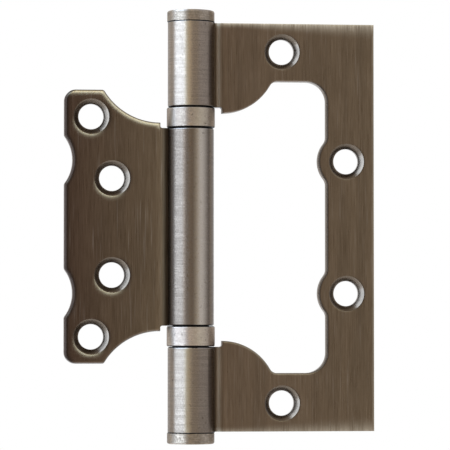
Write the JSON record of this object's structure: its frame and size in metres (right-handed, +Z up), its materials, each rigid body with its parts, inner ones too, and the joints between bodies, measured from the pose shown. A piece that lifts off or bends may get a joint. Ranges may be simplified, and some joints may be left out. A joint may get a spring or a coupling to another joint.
{
  "type": "surface mount hinge",
  "caption": "Non-mortise door hinge, open flat: a leaf with a window, a smaller leaf that nests in it, a rolled barrel with a headed pin, and ball thrust bearings.",
  "frame": {"origin": "on the pin's axis, at mid-height of the hinge", "axes": "+Z up the pin towards its head, +X across the large leaf, and +Y towards the back faces that lie on the frame and the door, so the countersinks open to -Y"},
  "size_m": [0.0763, 0.0118, 0.1058],
  "materials": {
    "bronze_plate": "brushed steel, antique bronze plated and lacquered",
    "bearing_steel": "ground bearing steel, greased",
    "cage_brass": "punched brass"
  },
  "bodies": {
    "frame_side": {"large_leaf": "bronze_plate", "hinge_pin": "bronze_plate", "bottom_plug": "bronze_plate", "upper_bearing_top_race": "bearing_steel", "lower_bearing_bottom_race": "bearing_steel"},
    "door_side": {"small_leaf": "bronze_plate", "upper_bearing_shroud": "bronze_plate", "upper_bearing_bottom_race": "bearing_steel", "lower_bearing_shroud": "bronze_plate", "lower_bearing_top_race": "bearing_steel"},
    "upper_balls": {"upper_bearing_cage": "cage_brass", "upper_bearing_ball_1": "bearing_steel", "upper_bearing_ball_2": "bearing_steel", "upper_bearing_ball_3": "bearing_steel", "upper_bearing_ball_4": "bearing_steel", "upper_bearing_ball_5": "bearing_steel", "upper_bearing_ball_6": "bearing_steel", "upper_bearing_ball_7": "bearing_steel", "upper_bearing_ball_8": "bearing_steel", "upper_bearing_ball_9": "bearing_steel", "upper_bearing_ball_10": "bearing_steel"},
    "lower_balls": {"lower_bearing_cage": "cage_brass", "lower_bearing_ball_1": "bearing_steel", "lower_bearing_ball_2": "bearing_steel", "lower_bearing_ball_3": "bearing_steel", "lower_bearing_ball_4": "bearing_steel", "lower_bearing_ball_5": "bearing_steel", "lower_bearing_ball_6": "bearing_steel", "lower_bearing_ball_7": "bearing_steel", "lower_bearing_ball_8": "bearing_steel", "lower_bearing_ball_9": "bearing_steel", "lower_bearing_ball_10": "bearing_steel"}
  },
  "joints": [
    {"name": "leaf_swing", "type": "hinge", "parent": "frame_side", "child": "door_side", "pos_m": [0, 0, 0], "axis": [0, 0, 1], "continuous": true},
    {"name": "upper_balls_turn", "type": "hinge", "parent": "frame_side", "child": "upper_balls", "pos_m": [0, 0, 0], "axis": [0, 0, 1], "continuous": true},
    {"name": "lower_balls_turn", "type": "hinge", "parent": "frame_side", "child": "lower_balls", "pos_m": [0, 0, 0], "axis": [0, 0, 1], "continuous": true}
  ],
  "couplings": [
    {"joint": "upper_balls_turn", "follows": "leaf_swing", "ratio": 0.5},
    {"joint": "lower_balls_turn", "follows": "leaf_swing", "ratio": 0.5}
  ]
}
